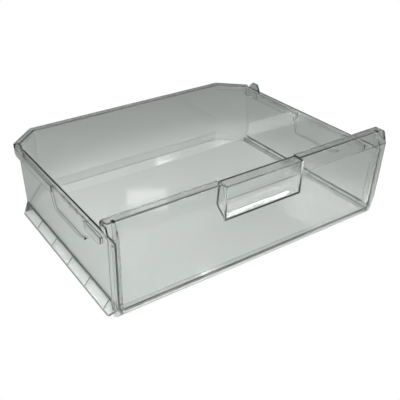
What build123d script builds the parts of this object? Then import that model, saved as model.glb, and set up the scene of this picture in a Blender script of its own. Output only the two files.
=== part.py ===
"""Clear slide-in drawer for a fridge or freezer compartment.

Frame: +X to the right, +Y to the back, +Z up, millimetres. The origin lies at the centre of
the base, halfway between the foremost line of the front and the back of the rim.
"""

from build123d import *
import math
import os

# ---------------------------------------------------------------------------
# Driving dimensions
# ---------------------------------------------------------------------------

drawer_depth = 361.0        # front of the grip lip to the back of the rim
play = 0.25                 # gap left where one piece fits beside another

# Width over the side walls of the tub, and what stands outside them on each side
tub_width = 424.0
panel_overhang = 8.0
rail_overhang = 4.0
middle_overhang = 2.0       # ledge along the middle of each side
skirt_spread = 12.0

# Front panel
panel_height = 134.0
face_thickness = 2.8
face_lean = 8.0             # how far the face leans forward at its bend
bend_height = 114.5
band_setback = 6.0          # how far the band above the bend runs back to the top edge
top_depth = 14.0            # front to back of the top flange
top_thickness = 2.4
top_lip_height = 8.5        # rear lip of the top flange, measured from the top
cap_thickness = 2.4         # end caps of the top flange
cap_foot_height = 118.0     # where the slanting foot of an end cap meets the band
top_edge_radius = 2.5
top_corner_radius = 5.0     # at each end of the top, seen from the front
corner_facet = (7.0, 4.0, 28.0)     # facet on each bottom corner: across, back, up

# Ribs on the panel's back
inner_rib_thickness = 3.6
inner_rib_depth = 10.0
outer_rib_thickness = 2.2
outer_rib_depth = 3.0
rib_foot_height = 14.0
ledge_depth = 8.0
ledge_thickness = 2.2
ledge_side_gap = 2.0

# Tub of the bin
wall = 2.4
rim_height = 107.5
floor_height = 8.0          # top of the floor
floor_thickness = 2.4
taper_height = 13.0         # below this the walls lean in to the base
taper_inset = 4.0
tub_corner_radius = 5.0
floor_radius = 2.5

# Rim
rim_overhang = 7.0          # flange outside the back wall and the cut corners
corner_cut = 40.5           # leg of the rim's cut rear corners
rim_thickness = 2.4
lip_thickness = 1.8
back_lip_height = 5.5
corner_lip_height = 12.0

# Side rails, distances behind the foot of the face
rail_drop = 6.5             # rim to the top of the rails
rail_lip_height = 12.0
rail_front = 25.0
front_channel_end = 69.0
rear_channel_start = 172.0
middle_rib_count = 4
middle_rib_first = 80.0
middle_rib_pitch = 19.3
middle_rib_height = 6.0
middle_rib_thickness = 1.6
rail_end_radius = 6.0       # rounded lower corners of the channels' lips

# Guide bead on each side wall: distance behind the foot of the face, height
bead_route = [(178.0, 90.0), (173.5, 80.0), (170.0, 66.5), (91.0, 66.0), (76.0, 70.5)]
bead_bend_radius = 5.0
bead_width = 2.4
bead_height = 3.0

# Skirts along the base of the side walls, hollow below, with cross ribs
skirt_skin = 2.0
skirt_rib_count = 6
skirt_rib_pitch = 54.2
skirt_rib_first = 22.0      # front of the first rib, behind the foot of the face
skirt_rib_thickness = 1.6
skirt_end_cut = (14.0, 15.0)        # rear end of each skirt: across, back
skirt_front_cut = (8.0, 6.0)        # front end of each skirt: across, back

# Raised rear part of the floor
ramp_length = 42.6          # back wall to the ramp's front edge
ramp_front_width = 226.0
ramp_rise = 7.0
ramp_cove_radius = 2.0      # between the ramp and the back wall

# Handle pocket
pocket_width = 123.0
pocket_wall = 2.4
pocket_foot_height = 84.0
pocket_slope_rise = 14.0
pocket_depth = 20.0         # face to the rear end of the pocket's sloped floor
pocket_top_rear = 9.0       # rear edge of the pocket's top, behind the foot of the face
grip_forward = 9.0          # grip lip, in front of the foot of the face
grip_foot_height = 115.0
pocket_bend_radius = 6.0

# Rear glides
glide_rear_gap = 10.5       # behind each glide, to the end of the rail
glide_length = 27.0
glide_height = 9.5          # above the rim
glide_rise = 5.5            # length of the steep front
glide_crown = 13.0          # length of the level crown
glide_tail = 1.5            # height of the rear end
glide_radius = 4.0
glide_edge_radius = 1.2
tongue_length = 20.0
tongue_depth = 10.0

# ---------------------------------------------------------------------------
# Places worked out from the dimensions
# ---------------------------------------------------------------------------

foot_y = -drawer_depth / 2 + grip_forward
tub_half = tub_width / 2
panel_half = tub_half + panel_overhang
rim_half = tub_half + rail_overhang
middle_half = tub_half + middle_overhang
skirt_half = tub_half + skirt_spread
rim_back = drawer_depth / 2
tub_back = rim_back - rim_overhang
flange_foot = rim_height - rim_thickness
rail_top = rim_height - rail_drop
rail_flange_foot = rail_top - rim_thickness
top_front_y = foot_y - face_lean + band_setback
top_rear_y = top_front_y + top_depth
diagonal = math.sqrt(2.0)
taper_angle = math.degrees(math.atan2(taper_inset, taper_height))

# A cut corner lies on the line x + y = corner line
rim_corner_line = rim_half + rim_back - corner_cut
tub_corner_line = rim_corner_line - rim_overhang * diagonal
side_zone_back = rim_corner_line - rim_half

# Blanks start in front of the grip, and are cut back to the panel later
blank_front = -drawer_depth / 2 - face_lean

# Tongues of the rear glides, in the rails' rear channels between wall and lip
tongue_width = rim_half - lip_thickness - tub_half - 2 * play
tongue_x = (tub_half + rim_half - lip_thickness) / 2
glide_y = side_zone_back - glide_rear_gap - glide_length
tongue_y = glide_y + glide_length / 2
tongue_places = [(-tongue_x, tongue_y), (tongue_x, tongue_y)]


def face_y(height):
    """Y of the panel's outer face at a height: it leans forward, then runs back above the bend."""
    if height <= bend_height:
        return foot_y - face_lean * height / bend_height
    run = (height - bend_height) / (panel_height - bend_height)
    return foot_y - face_lean + band_setback * run


def plan_points(half_width, front, back, corner_line):
    """Corners of a rectangle in plan whose two rear corners are cut at 45 degrees."""
    return [
        (-half_width, front),
        (half_width, front),
        (half_width, corner_line - half_width),
        (corner_line - back, back),
        (back - corner_line, back),
        (-half_width, corner_line - half_width),
    ]


def tub_points(inset):
    """The tub's plan, drawn in on all sides."""
    return plan_points(
        tub_half - inset, blank_front, tub_back - inset, tub_corner_line - inset * diagonal
    )


def rim_points(inset, front):
    """The rim's plan, drawn in at the sides, back and corners."""
    return plan_points(
        rim_half - inset, front, rim_back - inset, rim_corner_line - inset * diagonal
    )


def rear_corners(sketch):
    """The four rear corner points of a plan sketch."""
    return sketch.vertices().group_by(Axis.Y)[1:]


# The bin's front edges stop just short of the panel's back
bin_front_plane = Plane(
    origin=(0, foot_y + face_thickness + play, 0),
    x_dir=(1, 0, 0),
    z_dir=(0, bend_height, face_lean),
)

# ---------------------------------------------------------------------------
# Bin: the skirt of one side, made first
# ---------------------------------------------------------------------------

overlap = wall / 2          # how far the skirt reaches into the wall that it grows from
side_length = math.hypot(skirt_half - tub_half, taper_height)
side_drop = skirt_skin * side_length / (skirt_half - tub_half)
side_inset = skirt_skin * side_length / taper_height
skirt_end = tub_corner_line - tub_half
end_across, end_back = skirt_end_cut
front_across, front_back = skirt_front_cut

with BuildPart() as skirt:
    with BuildSketch(Plane.XZ.offset(-skirt_end)):
        Polygon(
            (tub_half - taper_inset - overlap, 0),
            (skirt_half, 0),
            (tub_half, taper_height),
            (tub_half - overlap, taper_height),
            align=None,
        )
    extrude(amount=skirt_end - blank_front)

    # A hollow cell in front of each rib
    for index in range(skirt_rib_count):
        rib_y = foot_y + skirt_rib_first + index * skirt_rib_pitch
        with BuildSketch(Plane.XZ.offset(-rib_y)):
            Polygon(
                (tub_half - taper_inset + overlap, -overlap),
                (skirt_half - side_inset, -overlap),
                (skirt_half - side_inset, 0),
                (tub_half, taper_height - side_drop),
                (tub_half - taper_inset + overlap, overlap),
                align=None,
            )
        extrude(amount=skirt_rib_pitch - skirt_rib_thickness, mode=Mode.SUBTRACT)

    # Both ends are cut slanting
    end_cut = Plane(
        origin=(skirt_half - end_across, skirt_end, 0),
        x_dir=(0, 0, 1),
        z_dir=(end_back, end_across, 0),
    )
    split(bisect_by=end_cut, keep=Keep.BOTTOM)
    front_cut = Plane(
        origin=(skirt_half, foot_y + face_thickness + front_back, 0),
        x_dir=(0, 0, 1),
        z_dir=(front_back, -front_across, 0),
    )
    split(bisect_by=front_cut, keep=Keep.BOTTOM)

# ---------------------------------------------------------------------------
# Bin: the ramp at the rear of the floor, drawn in on all sides by an inset
# ---------------------------------------------------------------------------


def ramp_planes(drop):
    """Faces of the ramp: the middle one rises to the back, one at each side falls to the corner."""
    ramp_front = tub_back - wall - ramp_length
    level = floor_height - drop
    planes = [
        Plane(
            origin=(0, ramp_front, level), x_dir=(1, 0, 0), z_dir=(0, -ramp_rise, ramp_length)
        )
    ]
    back_y = tub_back - wall
    inner_line = tub_corner_line - wall * diagonal
    side_x = tub_half - wall
    for side in (-1, 1):
        front_point = Vector(side * ramp_front_width / 2, ramp_front, level)
        crown_point = Vector(side * (inner_line - back_y), back_y, level + ramp_rise)
        low_point = Vector(side * side_x, inner_line - side_x, level)
        normal = (crown_point - front_point).cross(low_point - front_point)
        if normal.Z < 0:
            normal = normal * -1
        planes.append(Plane(origin=front_point, z_dir=normal))
    return planes


def ramp_blank_points(inset):
    """Plan of the ramp, from inside the floor out to the back wall and the cut corners."""
    side = tub_half - inset
    back = tub_back - inset
    line = tub_corner_line - inset * diagonal
    front = tub_back - wall - ramp_length - wall
    return plan_points(side, front, back, line)


with BuildPart() as ramp:
    for height, lean in ((ramp_rise, 0), (floor_height - floor_thickness - taper_height, taper_angle)):
        with BuildSketch(Plane.XY.offset(taper_height)):
            Polygon(*ramp_blank_points(overlap), align=None)
        extrude(amount=height, taper=lean)
    for face_plane in ramp_planes(0):
        split(bisect_by=face_plane, keep=Keep.BOTTOM)

with BuildPart() as ramp_hollow:
    for height, lean in ((ramp_rise, 0), (-taper_height, taper_angle)):
        with BuildSketch(Plane.XY.offset(taper_height)):
            Polygon(*ramp_blank_points(wall), align=None)
        extrude(amount=height, taper=lean)
    for face_plane in ramp_planes(floor_thickness):
        split(bisect_by=face_plane, keep=Keep.BOTTOM)

# Cove between the ramp's rear edge and the back wall
ramp_angle = math.atan2(ramp_rise, ramp_length)
wall_inside_y = tub_back - wall
crown_half = tub_corner_line - wall * diagonal - wall_inside_y
crown_height = floor_height + ramp_rise
cove_y = wall_inside_y - ramp_cove_radius
cove_height = (
    crown_height - ramp_cove_radius * math.tan(ramp_angle) + ramp_cove_radius / math.cos(ramp_angle)
)
cove_foot = (
    cove_y + ramp_cove_radius * math.sin(ramp_angle),
    cove_height - ramp_cove_radius * math.cos(ramp_angle),
)

with BuildPart() as ramp_cove:
    with BuildSketch(Plane.YZ):
        with BuildLine():
            RadiusArc((wall_inside_y, cove_height), cove_foot, ramp_cove_radius)
            Polyline(
                cove_foot,
                (cove_foot[0], crown_height - overlap),
                (wall_inside_y + overlap, crown_height - overlap),
                (wall_inside_y + overlap, cove_height),
                (wall_inside_y, cove_height),
            )
        make_face()
    extrude(amount=crown_half, both=True)

# ---------------------------------------------------------------------------
# Bin: the space inside the tub
# ---------------------------------------------------------------------------

with BuildPart() as cavity:
    with BuildSketch(Plane.XY.offset(taper_height)) as cavity_plan:
        Polygon(*tub_points(wall), align=None)
        fillet(rear_corners(cavity_plan), tub_corner_radius - wall)
    extrude(amount=rim_height)
    with BuildSketch(Plane.XY.offset(taper_height)) as cavity_foot:
        Polygon(*tub_points(wall), align=None)
        fillet(rear_corners(cavity_foot), tub_corner_radius - wall)
    extrude(amount=floor_height - taper_height, taper=taper_angle)
    fillet(cavity.faces().sort_by(Axis.Z)[0].edges(), floor_radius)

# ---------------------------------------------------------------------------
# Bin: the rail channels, ribs and bead of the right side
# ---------------------------------------------------------------------------

channels = [
    (foot_y + rail_front, foot_y + front_channel_end),
    (foot_y + rear_channel_start, side_zone_back),
]

with BuildPart() as rail:
    # Channels open below: an outer lip with rounded lower corners, closed at both ends
    for channel_front, channel_back in channels:
        with BuildSketch(Plane.YZ.offset(tub_half - overlap)):
            with Locations(((channel_front + channel_back) / 2, rail_top - rail_lip_height / 2)):
                channel_side = Rectangle(channel_back - channel_front, rail_lip_height)
            fillet(channel_side.vertices().group_by(Axis.Y)[0], rail_end_radius)
        extrude(amount=rim_half - tub_half + overlap)
        with BuildSketch(Plane.XY.offset(rail_flange_foot)):
            with Locations((tub_half, channel_front + lip_thickness)):
                Rectangle(
                    rim_half - lip_thickness - tub_half,
                    channel_back - channel_front - 2 * lip_thickness,
                    align=(Align.MIN, Align.MIN),
                )
        extrude(amount=-rail_lip_height, mode=Mode.SUBTRACT)

    # Step from the rear channel up to the rim of the cut corner
    with BuildSketch(Plane.XY.offset(rail_flange_foot)):
        with Locations((tub_half - overlap, side_zone_back)):
            Rectangle(
                rim_half - tub_half + overlap, lip_thickness, align=(Align.MIN, Align.MAX)
            )
    extrude(amount=rim_height - rail_flange_foot)

    # Narrow ledge between the channels, with small cross ribs under it
    with BuildSketch(Plane.XY.offset(rail_flange_foot)):
        with Locations((tub_half - overlap, foot_y + front_channel_end)):
            Rectangle(
                middle_half - tub_half + overlap,
                rear_channel_start - front_channel_end,
                align=(Align.MIN, Align.MIN),
            )
    extrude(amount=rim_thickness)
    for index in range(middle_rib_count):
        rib_y = foot_y + middle_rib_first + index * middle_rib_pitch
        with BuildSketch(Plane.XZ.offset(-rib_y)):
            Polygon(
                (tub_half - overlap, rail_flange_foot),
                (middle_half, rail_flange_foot),
                (tub_half, rail_flange_foot - middle_rib_height),
                (tub_half - overlap, rail_flange_foot - middle_rib_height),
                align=None,
            )
        extrude(amount=middle_rib_thickness / 2, both=True)

    # Guide bead that drops from the rear channel and curls up at its front end
    with BuildSketch(Plane.YZ.offset(tub_half - overlap)):
        with BuildLine():
            FilletPolyline(
                *[(foot_y + distance, height) for distance, height in bead_route],
                radius=bead_bend_radius,
            )
        trace(line_width=bead_width)
    extrude(amount=overlap + bead_height)

# ---------------------------------------------------------------------------
# Bin: tub, rim, rails and skirts in one moulding
# ---------------------------------------------------------------------------

with BuildPart() as bin_tub:
    with BuildSketch(Plane.XY.offset(taper_height)) as wall_plan:
        Polygon(*tub_points(0), align=None)
        fillet(rear_corners(wall_plan), tub_corner_radius)
    extrude(amount=rim_height - taper_height)
    with BuildSketch(Plane.XY.offset(taper_height)) as foot_plan:
        Polygon(*tub_points(0), align=None)
        fillet(rear_corners(foot_plan), tub_corner_radius)
    extrude(amount=-taper_height, taper=taper_angle)

    # Rim flange round the cut corners and the back
    with BuildSketch(Plane.XY.offset(flange_foot)):
        Polygon(*rim_points(0, side_zone_back - lip_thickness), align=None)
    extrude(amount=rim_thickness)

    # Downturned lip, shallow at the back and deeper at the cut corners
    corner_zone = 2 * (rim_corner_line - rim_back)
    for lip_height, middle_width in ((back_lip_height, 0), (corner_lip_height, corner_zone)):
        with BuildSketch(Plane.XY.offset(rim_height)):
            Polygon(*rim_points(0, side_zone_back), align=None)
            Polygon(*rim_points(lip_thickness, blank_front), align=None, mode=Mode.SUBTRACT)
            if middle_width:
                Rectangle(middle_width, drawer_depth, mode=Mode.SUBTRACT)
        extrude(amount=-lip_height)

    add(rail.part)
    mirror(rail.part, about=Plane.YZ)
    add(skirt.part)
    mirror(skirt.part, about=Plane.YZ)

    # Inside, and the recess below the floor
    add(cavity.part, mode=Mode.SUBTRACT)
    with BuildSketch(Plane.XY):
        Polygon(*tub_points(taper_inset + wall), align=None)
    extrude(amount=floor_height - floor_thickness, mode=Mode.SUBTRACT)
    add(ramp.part)
    add(ramp_hollow.part, mode=Mode.SUBTRACT)
    add(ramp_cove.part)

    # Slots in the rails that take the tongues of the rear glides
    with BuildSketch(Plane.XY.offset(rail_top)):
        with Locations(*tongue_places):
            Rectangle(tongue_width + 2 * play, tongue_length + 2 * play)
    extrude(amount=-rim_thickness, mode=Mode.SUBTRACT)

    split(bisect_by=bin_front_plane, keep=Keep.TOP)

bin_tub.part.label = "bin"

# ---------------------------------------------------------------------------
# Front panel
# ---------------------------------------------------------------------------

rib_outer = tub_half - wall - play
outer_rib_inner = tub_half + play
ledge_top = floor_height - floor_thickness - play
ledge_half = tub_half - taper_inset - wall - ledge_side_gap
notch_half = pocket_width / 2 + play
facet_across, facet_back, facet_up = corner_facet

with BuildPart() as front_panel:
    # Face, band and top flange with its rear lip
    with BuildSketch(Plane.YZ):
        Polygon(
            (face_y(0), 0),
            (face_y(bend_height), bend_height),
            (top_front_y, panel_height),
            (top_rear_y, panel_height),
            (top_rear_y, panel_height - top_lip_height),
            (top_rear_y - top_thickness, panel_height - top_lip_height),
            (top_rear_y - top_thickness, panel_height - top_thickness),
            (face_y(panel_height - top_thickness) + face_thickness, panel_height - top_thickness),
            (face_y(bend_height) + face_thickness, bend_height),
            (face_y(0) + face_thickness, 0),
            align=None,
        )
    extrude(amount=panel_half, both=True)

    # Softer front edge of the top
    top_edges = front_panel.edges().filter_by(Axis.X).group_by(Axis.Z)[-1]
    fillet(top_edges.sort_by(Axis.Y)[0], top_edge_radius)

    # End caps of the top flange, and round corners above them
    for side in (-1, 1):
        with BuildSketch(Plane.YZ.offset(side * panel_half)):
            Polygon(
                (face_y(cap_foot_height) + face_thickness / 2, cap_foot_height),
                (face_y(panel_height) + face_thickness / 2, panel_height - top_thickness / 2),
                (top_rear_y, panel_height - top_thickness / 2),
                (top_rear_y, panel_height - top_lip_height),
                align=None,
            )
        extrude(amount=-side * cap_thickness)
    with BuildSketch(Plane.XZ):
        with Locations((0, panel_height / 2)):
            outline = Rectangle(2 * panel_half, panel_height)
        fillet(outline.vertices().group_by(Axis.Y)[-1], top_corner_radius)
    extrude(amount=drawer_depth, both=True, mode=Mode.INTERSECT)

    # Facet on each bottom corner
    for side in (-1, 1):
        across_point = Vector(side * (panel_half - facet_across), face_y(0), 0)
        back_point = Vector(side * panel_half, face_y(0) + facet_back, 0)
        up_point = Vector(side * panel_half, face_y(facet_up), facet_up)
        normal = (back_point - across_point).cross(up_point - across_point)
        if normal.Y > 0:
            normal = normal * -1
        split(bisect_by=Plane(origin=across_point, z_dir=normal), keep=Keep.BOTTOM)

    # Ribs beside the front edges of the bin's side walls, the inner ones up to the top flange
    for near_x, thickness, depth, top in (
        (rib_outer, -inner_rib_thickness, inner_rib_depth, panel_height - top_thickness / 2),
        (outer_rib_inner, outer_rib_thickness, outer_rib_depth, flange_foot),
    ):
        front_offset = face_thickness / 2
        rear_offset = face_thickness + depth
        for side in (-1, 1):
            with BuildSketch(Plane.YZ.offset(side * near_x)):
                Polygon(
                    (face_y(rib_foot_height) + front_offset, rib_foot_height),
                    (face_y(min(top, bend_height)) + front_offset, min(top, bend_height)),
                    (face_y(top) + front_offset + play, top),
                    (face_y(bend_height) + rear_offset, top),
                    (face_y(bend_height) + rear_offset, bend_height),
                    (face_y(rib_foot_height) + rear_offset, rib_foot_height),
                    align=None,
                )
            extrude(amount=side * thickness)

    # Ledge under the front edge of the bin's floor
    with BuildSketch(Plane.YZ):
        with Locations((face_y(0) + face_thickness / 2, ledge_top)):
            Rectangle(
                face_thickness / 2 + ledge_depth, ledge_thickness, align=(Align.MIN, Align.MAX)
            )
    extrude(amount=ledge_half, both=True)

    # Notch that takes the handle pocket, open at the top
    with BuildSketch(Plane.XZ.offset(-top_rear_y - play)):
        with Locations((0, pocket_foot_height - play)):
            Rectangle(2 * notch_half, panel_height, align=(Align.CENTER, Align.MIN))
    extrude(amount=drawer_depth, mode=Mode.SUBTRACT)

front_panel.part.label = "front_panel"

# ---------------------------------------------------------------------------
# Handle pocket
# ---------------------------------------------------------------------------

pocket_half = pocket_width / 2
pocket_foot = (face_y(pocket_foot_height), pocket_foot_height)
pocket_back = (face_y(pocket_foot_height) + pocket_depth, pocket_foot_height + pocket_slope_rise)
pocket_top = (foot_y + pocket_top_rear, panel_height)
grip_y = foot_y - grip_forward
mouth_front = grip_y - pocket_depth
mouth_drop = pocket_slope_rise / pocket_depth * (pocket_foot[0] - mouth_front)
slope_skin = pocket_wall * math.hypot(pocket_depth, pocket_slope_rise) / pocket_depth

with BuildPart() as pocket_inside:
    # The outline drawn in by one wall, and the mouth below the grip
    with BuildSketch(Plane.YZ):
        outline = Polygon(
            pocket_foot, pocket_back, pocket_top, (grip_y, panel_height), (grip_y, grip_foot_height),
            align=None,
        )
        fillet(outline.vertices().sort_by(Axis.X)[-1], pocket_bend_radius)
        offset(amount=-pocket_wall, mode=Mode.REPLACE)
    extrude(amount=pocket_half - pocket_wall, both=True)
    with BuildSketch(Plane.YZ):
        Polygon(
            (mouth_front, pocket_foot_height + slope_skin - mouth_drop),
            (pocket_foot[0] + pocket_wall, pocket_foot_height + slope_skin
             + pocket_wall * pocket_slope_rise / pocket_depth),
            (grip_y + pocket_wall, grip_foot_height + pocket_wall),
            (grip_y + pocket_wall, grip_foot_height),
            (mouth_front, grip_foot_height),
            align=None,
        )
    extrude(amount=pocket_half - pocket_wall, both=True)

with BuildPart() as handle_pocket:
    with BuildSketch(Plane.YZ):
        outline = Polygon(
            pocket_foot, pocket_back, pocket_top, (grip_y, panel_height), (grip_y, grip_foot_height),
            (face_y(grip_foot_height), grip_foot_height),
            align=None,
        )
        fillet(outline.vertices().sort_by(Axis.X)[-1], pocket_bend_radius)
    extrude(amount=pocket_half, both=True)
    add(pocket_inside.part, mode=Mode.SUBTRACT)

handle_pocket.part.label = "handle_pocket"

# ---------------------------------------------------------------------------
# Rear glides
# ---------------------------------------------------------------------------

glide_outer = rim_half - play
glide_inner = tub_half + play
glide_top = rim_height + glide_height

with BuildPart() as glide:
    with BuildSketch(Plane.YZ.offset(glide_inner)) as glide_side:
        Polygon(
            (glide_y, rail_top),
            (glide_y, rim_height),
            (glide_y + glide_rise, glide_top),
            (glide_y + glide_rise + glide_crown, glide_top),
            (glide_y + glide_length, rim_height + glide_tail),
            (glide_y + glide_length, rail_top),
            align=None,
        )
        fillet(glide_side.vertices().group_by(Axis.Y)[-1], glide_radius)
    extrude(amount=glide_outer - glide_inner)
    fillet(glide.faces().sort_by(Axis.Z)[-1].edges().filter_by(Axis.Y), glide_edge_radius)

    # Tongue that plugs through the rail's flange into its channel
    with BuildSketch(Plane.XY.offset(rail_top)):
        with Locations((tongue_x, tongue_y)):
            Rectangle(tongue_width, tongue_length)
    extrude(amount=-tongue_depth)

with BuildPart() as glide_left:
    mirror(glide.part, about=Plane.YZ)

glide.part.label = "rear_glide_right"
glide_left.part.label = "rear_glide_left"

# ---------------------------------------------------------------------------
# Files
# ---------------------------------------------------------------------------

os.makedirs("parts", exist_ok=True)
for piece in (bin_tub, front_panel, handle_pocket, glide, glide_left):
    export_step(piece.part, f"parts/{piece.part.label}.step")
    print(piece.part.label, round(piece.part.volume), "mm3,", len(piece.solids()), "solid")
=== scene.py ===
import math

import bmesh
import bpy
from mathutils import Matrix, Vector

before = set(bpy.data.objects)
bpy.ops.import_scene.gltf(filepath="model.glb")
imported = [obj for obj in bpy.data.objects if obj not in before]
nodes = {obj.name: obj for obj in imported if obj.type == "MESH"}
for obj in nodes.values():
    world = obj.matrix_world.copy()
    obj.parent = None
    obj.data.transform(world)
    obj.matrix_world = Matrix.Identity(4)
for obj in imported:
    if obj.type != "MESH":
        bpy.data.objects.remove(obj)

# %% [markdown]
# # A clear drawer for a fridge
#
# This lesson dresses a drawer moulded in clear plastic. Its five mouldings come from CAD at
# their real size and stay where they are. Blender gives them what CAD leaves out: the small
# radius that a steel mould leaves along every edge, the faint smoky tint of the plastic, the
# soft ripple of its faces, and a white table with soft lights to show all of that.
# Everything is in metres. +X is the drawer's right, +Y its back and +Z is up.

MM = 0.001
scene = bpy.context.scene
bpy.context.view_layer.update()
print("CAD pieces:", sorted(nodes))

# %% [markdown]
# ## The camera
#
# The drawer is seen from the front and a little from its left, from about half a metre above
# the table. A camera is easiest to place by its position and three turns: its heading, how far
# it looks down, and its small roll. Its lens comes from the angle that the photograph spans.

# %% Camera at the photograph's viewing angle
CAMERA_PLACE = Vector((-0.4441, -0.7009, 0.4985))
HEADING = math.radians(33.47)       # from +Y towards +X
LOOK_DOWN = math.radians(30.65)
ROLL = math.radians(-0.66)
FOCAL_PIXELS = 620.4                # focal length in pixels of a 400 pixel wide picture
PICTURE_PIXELS = 400
SENSOR_WIDTH = 36.0                 # millimetres, as the lens is
FARTHEST_VIEW = 30.0

ahead = Vector((
    math.sin(HEADING) * math.cos(LOOK_DOWN),
    math.cos(HEADING) * math.cos(LOOK_DOWN),
    -math.sin(LOOK_DOWN),
))
level_right = Vector((math.cos(HEADING), -math.sin(HEADING), 0.0))
level_up = level_right.cross(ahead)
camera_right = math.cos(ROLL) * level_right + math.sin(ROLL) * level_up
camera_up = math.cos(ROLL) * level_up - math.sin(ROLL) * level_right

camera_data = bpy.data.cameras.new("camera")
camera_data.sensor_width = SENSOR_WIDTH
camera_data.lens = FOCAL_PIXELS * SENSOR_WIDTH / PICTURE_PIXELS
camera_data.clip_end = FARTHEST_VIEW
camera = bpy.data.objects.new("camera", camera_data)
turn = Matrix((camera_right, camera_up, -ahead)).transposed().to_4x4()
camera.matrix_world = Matrix.Translation(CAMERA_PLACE) @ turn
scene.collection.objects.link(camera)
scene.camera = camera
print("lens", round(camera_data.lens, 2), "mm")

# %% [markdown]
# ## Three helpers
#
# Colours are easiest to choose as the hex values of a colour picker, but shaders work in
# linear light, so one function turns one into the other. Another adds a node, gives it its
# settings and joins it to what feeds it, so that a material reads as a short list. The third
# starts a material with nothing in it but its output.


# %% Colours and shader nodes
def linear(hex_colour):
    """The linear RGBA colour of an sRGB hex value such as "c8ccc8"."""
    channels = [int(hex_colour[start:start + 2], 16) / 255 for start in (0, 2, 4)]
    light = [c / 12.92 if c <= 0.04045 else ((c + 0.055) / 1.055) ** 2.4 for c in channels]
    return (*light, 1.0)


def add_node(tree, kind, inputs=None, **settings):
    """Adds a shader node. An input is a value, or the output of another node."""
    node = tree.nodes.new(kind)
    for name, value in settings.items():
        setattr(node, name, value)
    for name, value in (inputs or {}).items():
        if isinstance(value, bpy.types.NodeSocket):
            tree.links.new(value, node.inputs[name])
        else:
            node.inputs[name].default_value = value
    return node


def new_material(name):
    """An empty material and its output node."""
    material = bpy.data.materials.new(name)
    material.use_nodes = True
    material.node_tree.nodes.clear()
    return material, add_node(material.node_tree, "ShaderNodeOutputMaterial")


print("mid grey in linear light:", round(linear("808080")[0], 3))

# %% [markdown]
# ## The table
#
# The drawer stands on plain white paper. The paper is white to the camera, as in a picture
# whose ground was brought up to white, and pale grey where it is seen through the plastic or
# mirrored in it. Without that the clear walls would have nothing grey to show.

# %% White paper, matt and without a grain that shows from here
PAPER_GREY = "c9cdca"
WHITE = "ffffff"

paper_material, paper_output = new_material("white paper")
tree = paper_material.node_tree
ray = add_node(tree, "ShaderNodeLightPath")
grey_paper = add_node(tree, "ShaderNodeBsdfDiffuse", {"Color": linear(PAPER_GREY)})
white_paper = add_node(tree, "ShaderNodeEmission", {"Color": linear(WHITE), "Strength": 1.0})
paper_mix = add_node(tree, "ShaderNodeMixShader", {"Fac": ray.outputs["Is Camera Ray"]})
tree.links.new(grey_paper.outputs["BSDF"], paper_mix.inputs[1])
tree.links.new(white_paper.outputs["Emission"], paper_mix.inputs[2])
tree.links.new(paper_mix.outputs["Shader"], paper_output.inputs["Surface"])
print("material:", paper_material.name)

# %% The sheet
PAPER_SIZE = 12.0

paper_mesh = bpy.data.meshes.new("paper")
sheet = bmesh.new()
bmesh.ops.create_grid(sheet, x_segments=1, y_segments=1, size=PAPER_SIZE / 2)
sheet.to_mesh(paper_mesh)
sheet.free()
paper_mesh.materials.append(paper_material)
paper = bpy.data.objects.new("paper", paper_mesh)
scene.collection.objects.link(paper)
print("paper", PAPER_SIZE, "m square")

# %% [markdown]
# ## Light on the paper
#
# Clear plastic shows by what it mirrors and bends, and most of what it bends is the paper. Two
# large soft lights set the paper's tone: a key light at the front left, and a weak one high
# above that fills the drawer. A light that isn't for the paper stays out of its diffuse rays.


# %% Key light and overhead light
def soft_light(name, place, target, width, height, power, on_paper=True):
    """A rectangular area light that faces a target. Off the paper, it shows only in plastic."""
    lamp = bpy.data.lights.new(name, "AREA")
    lamp.shape = "RECTANGLE"
    lamp.size = width
    lamp.size_y = height
    lamp.energy = power
    light = bpy.data.objects.new(name, lamp)
    light.location = place
    light.rotation_euler = (Vector(target) - Vector(place)).to_track_quat("-Z", "Y").to_euler()
    light.visible_diffuse = on_paper
    scene.collection.objects.link(light)
    print("light", name, power, "W")


DRAWER_MIDDLE = (0.0, 0.0, 0.05)
TABLE_AT_FRONT = (-0.1, -0.3, 0.0)
soft_light("key", (-0.5, -0.8, 1.0), TABLE_AT_FRONT, width=0.6, height=0.5, power=15.0)
soft_light("overhead", (0.0, 0.1, 2.2), DRAWER_MIDDLE, width=1.6, height=1.2, power=2.0)

# %% [markdown]
# ## Light for the plastic alone
#
# These lights are placed by what mirrors them, and the open paper takes none of their light.
# A window behind the left corner lays a pale sheen on the right-hand wall and on the right end
# of the front. A narrow strip faces straight down, so its long side lies along X as the handle
# pocket does, and the pocket's sloped floor mirrors it as one thin white line. A small lamp
# behind leaves a spark on the ramp at the rear of the floor.

# %% Window, strip and lamp
STRIP_PLACE = Vector((1.03, -0.645, 1.6))
BELOW_STRIP = STRIP_PLACE + Vector((0.0, 0.0, -1.0))

soft_light("window", (-1.5, 1.35, 1.47), DRAWER_MIDDLE, width=0.7, height=0.5, power=7.0, on_paper=False)
soft_light("strip", STRIP_PLACE, BELOW_STRIP, width=0.36, height=0.03, power=0.8, on_paper=False)
soft_light("lamp", (0.95, 1.3, 1.5), DRAWER_MIDDLE, width=0.12, height=0.2, power=0.3, on_paper=False)

# %% [markdown]
# ## A glint
#
# The soft pale patch in the middle of the floor is a light behind the drawer, mirrored there.
# An area light has a hard edge, so three of them lie one within the other, and their light
# grows towards the middle.

# %% A glint on the floor
GLINT_PLACE = (0.64, 1.35, 0.885)
GLINT_ON_FLOOR = (-0.058, 0.035, 0.008)
GLINT_WIDTH = 0.17
GLINT_HEIGHT = 0.09
GLINT_POWER = 0.08

for share in (1.0, 0.65, 0.35):
    soft_light(
        "glint", GLINT_PLACE, GLINT_ON_FLOOR,
        GLINT_WIDTH * share, GLINT_HEIGHT * share, GLINT_POWER * share, on_paper=False,
    )

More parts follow.
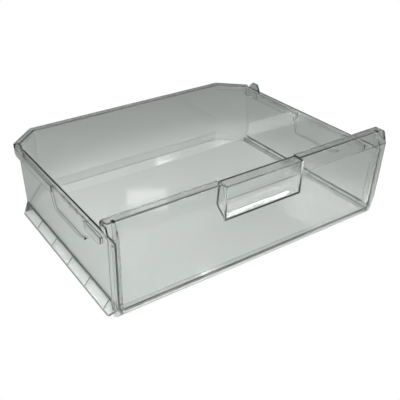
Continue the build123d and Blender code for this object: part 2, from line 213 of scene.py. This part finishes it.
# %% [markdown]
# ## The room
#
# A dim grey room stands all round. It gives the edges of the plastic their dark lines, because
# an edge turns the light of the room towards the eye, and not that of the paper. To the camera
# itself the room is white, as the paper is.

# %% A dim room that the camera sees as white
ROOM_GREY = "c4c8c6"
ROOM_STRENGTH = 0.34

world = bpy.data.worlds.new("room")
scene.world = world
world.use_nodes = True
tree = world.node_tree
tree.nodes.clear()
ray = add_node(tree, "ShaderNodeLightPath")
room = add_node(tree, "ShaderNodeBackground", {"Color": linear(ROOM_GREY), "Strength": ROOM_STRENGTH})
white_room = add_node(tree, "ShaderNodeBackground", {"Color": linear(WHITE), "Strength": 1.0})
room_mix = add_node(tree, "ShaderNodeMixShader", {"Fac": ray.outputs["Is Camera Ray"]})
tree.links.new(room.outputs["Background"], room_mix.inputs[1])
tree.links.new(white_room.outputs["Background"], room_mix.inputs[2])
add_node(tree, "ShaderNodeOutputWorld", {"Surface": room_mix.outputs["Shader"]})
print("room at", ROOM_STRENGTH, "of", ROOM_GREY)

# %% [markdown]
# ## How far light is followed
#
# A ray crosses the front panel, the floor and a wall, each with two faces, and inside a rib it
# may bounce many times more. If it were given up early, it would end in black, so the limits
# for clear and mirrored light are higher than usual. A clamp keeps single bright rays from
# leaving white dots.

# %% Limits for light paths
scene.view_settings.view_transform = "Standard"
scene.cycles.max_bounces = 24
scene.cycles.transmission_bounces = 20
scene.cycles.transparent_max_bounces = 24
scene.cycles.glossy_bounces = 8
scene.cycles.diffuse_bounces = 3
scene.cycles.sample_clamp_indirect = 6.0
print("light is followed through", scene.cycles.transmission_bounces, "faces")

# %% [markdown]
# ## Gloss
#
# The drawer is crystal polystyrene, injection moulded against polished steel. That gives the
# eye a clean gloss that is a little duller here and there, where the melt cooled first. A noise
# of that size drives the roughness up and down about its value.

# %% A gloss that varies a little
HAZE_SIZE = 60 * MM
HAZE_RANGE = (0.3, 0.7)             # where most of the noise lies
GLOSS_RANGE = (0.6, 1.5)            # share of the roughness, from clean to dull


def moulded_gloss(tree, place, roughness):
    """Roughness that varies slowly over a moulded face."""
    haze = add_node(tree, "ShaderNodeTexNoise", {"Vector": place, "Scale": 1 / HAZE_SIZE, "Detail": 3.0})
    gloss = add_node(tree, "ShaderNodeMapRange", {
        "Value": haze.outputs["Fac"],
        "From Min": HAZE_RANGE[0], "From Max": HAZE_RANGE[1],
        "To Min": roughness * GLOSS_RANGE[0], "To Max": roughness * GLOSS_RANGE[1],
    })
    return gloss.outputs["Result"]


print("gloss varies over", round(HAZE_SIZE / MM), "mm")

# %% [markdown]
# ## Ripple
#
# A moulded face is never quite flat, because the melt cools unevenly, so a slow ripple runs
# through every mirrored light. It is far too shallow to model, and a bump shows it well. The
# bin's edges are rounded here too: a bevel node turns the normals near an edge, and the bump is
# laid over them.

# %% A slow ripple, and rounded edges where they are asked for
RIPPLE_SIZE = 35 * MM
RIPPLE_HEIGHT = 0.05 * MM


def moulded_normal(tree, place, ripple, edge_radius):
    """The normal of a rippled face. With an edge radius, it turns round the edges as well."""
    wave = add_node(tree, "ShaderNodeTexNoise", {
        "Vector": place, "Scale": 1 / RIPPLE_SIZE, "Detail": 1.0, "Roughness": 0.3,
    })
    bump = add_node(tree, "ShaderNodeBump", {
        "Height": wave.outputs["Fac"], "Distance": RIPPLE_HEIGHT * ripple, "Strength": 1.0,
    })
    if edge_radius:
        soft_edge = add_node(tree, "ShaderNodeBevel", {"Radius": edge_radius}, samples=4)
        tree.links.new(soft_edge.outputs["Normal"], bump.inputs["Normal"])
    return bump.outputs["Normal"]


print("ripple of", round(RIPPLE_SIZE / MM), "mm")

# %% [markdown]
# ## Clear plastic
#
# Polystyrene bends light strongly: its refractive index is 1.57 to 1.59. It is clear, with a
# faint grey-green smoke that deepens with its thickness, so the smoke is in its volume and not
# on its faces. Shadows pass through it almost whole, because a shadow ray can't bend and would
# find a clear wall as dark as a solid one.

# %% Crystal polystyrene
STYRENE_IOR = 1.57
SHADE = "fafafa"                    # what each face leaves of the light in a shadow
SMOKE = "b2b5b3"
SMOKE_PER_METRE = 45.0


def clear_polystyrene(name, roughness, ripple, edge_radius=0.0):
    """Clear moulded polystyrene: a smooth gloss outside and a faint smoke inside."""
    material, output = new_material(name)
    tree = material.node_tree
    place = add_node(tree, "ShaderNodeTexCoord").outputs["Object"]
    plastic = add_node(tree, "ShaderNodeBsdfPrincipled", {
        "Base Color": linear(WHITE), "IOR": STYRENE_IOR, "Transmission Weight": 1.0,
        "Roughness": moulded_gloss(tree, place, roughness),
        "Normal": moulded_normal(tree, place, ripple, edge_radius),
    })
    ray = add_node(tree, "ShaderNodeLightPath")
    shade = add_node(tree, "ShaderNodeBsdfTransparent", {"Color": linear(SHADE)})
    mix = add_node(tree, "ShaderNodeMixShader", {"Fac": ray.outputs["Is Shadow Ray"]})
    tree.links.new(plastic.outputs["BSDF"], mix.inputs[1])
    tree.links.new(shade.outputs["BSDF"], mix.inputs[2])
    tree.links.new(mix.outputs["Shader"], output.inputs["Surface"])
    smoke = add_node(tree, "ShaderNodeVolumeAbsorption", {
        "Color": linear(SMOKE), "Density": SMOKE_PER_METRE,
    })
    tree.links.new(smoke.outputs["Volume"], output.inputs["Volume"])
    print("material:", name)
    return material


# %% [markdown]
# ## One plastic, four finishes
#
# All five mouldings are of the same plastic. They differ in how flat their faces came out. The
# bin's walls are large and thin, and ripple the most. The front is polished best, because it
# is what shows in the fridge. The small glides are rubbed by the runners, and a little duller.

# %% The plastic of each moulding
BIN_EDGE_RADIUS = 0.6 * MM

glide_plastic = clear_polystyrene("clear polystyrene, glides", 0.06, 0.5)
PLASTIC_OF = {
    "bin": clear_polystyrene("clear polystyrene, bin", 0.05, 1.0, BIN_EDGE_RADIUS),
    "front_panel": clear_polystyrene("clear polystyrene, front", 0.04, 0.6),
    "handle_pocket": clear_polystyrene("clear polystyrene, handle", 0.05, 0.4),
    "rear_glide_left": glide_plastic,
    "rear_glide_right": glide_plastic,
}
for name, plastic in PLASTIC_OF.items():
    mesh = nodes[name].data
    mesh.materials.clear()
    mesh.materials.append(plastic)
    print(name, "is of", plastic.name)

# %% [markdown]
# ## Rounded edges
#
# A moulding has no sharp edge. CAD meshes come as loose triangles, so the front panel, the
# handle pocket and the glides are welded first, their flat faces are joined again, and then a
# narrow bevel runs along every edge that turns by more than 30 degrees. The bin has ribs, slots
# and steps that meet in too many corners for that, which is why its plastic rounds its edges.

# %% A small radius along the edges
WELD_DISTANCE = 0.002 * MM
FLAT_ANGLE = math.radians(0.5)
EDGE_ANGLE = math.radians(30)
EDGE_SEGMENTS = 3
EDGE_RADIUS_OF = {
    "front_panel": 0.6 * MM,
    "handle_pocket": 0.6 * MM,
    "rear_glide_left": 0.4 * MM,
    "rear_glide_right": 0.4 * MM,
}
for name, radius in EDGE_RADIUS_OF.items():
    weld = nodes[name].modifiers.new("weld", "WELD")
    weld.merge_threshold = WELD_DISTANCE
    flat = nodes[name].modifiers.new("flat faces", "DECIMATE")
    flat.decimate_type = "DISSOLVE"
    flat.angle_limit = FLAT_ANGLE
    round_edge = nodes[name].modifiers.new("round edges", "BEVEL")
    round_edge.width = radius
    round_edge.segments = EDGE_SEGMENTS
    round_edge.limit_method = "ANGLE"
    round_edge.angle_limit = EDGE_ANGLE
    print(name, "edges rounded to", round(radius / MM, 2), "mm")
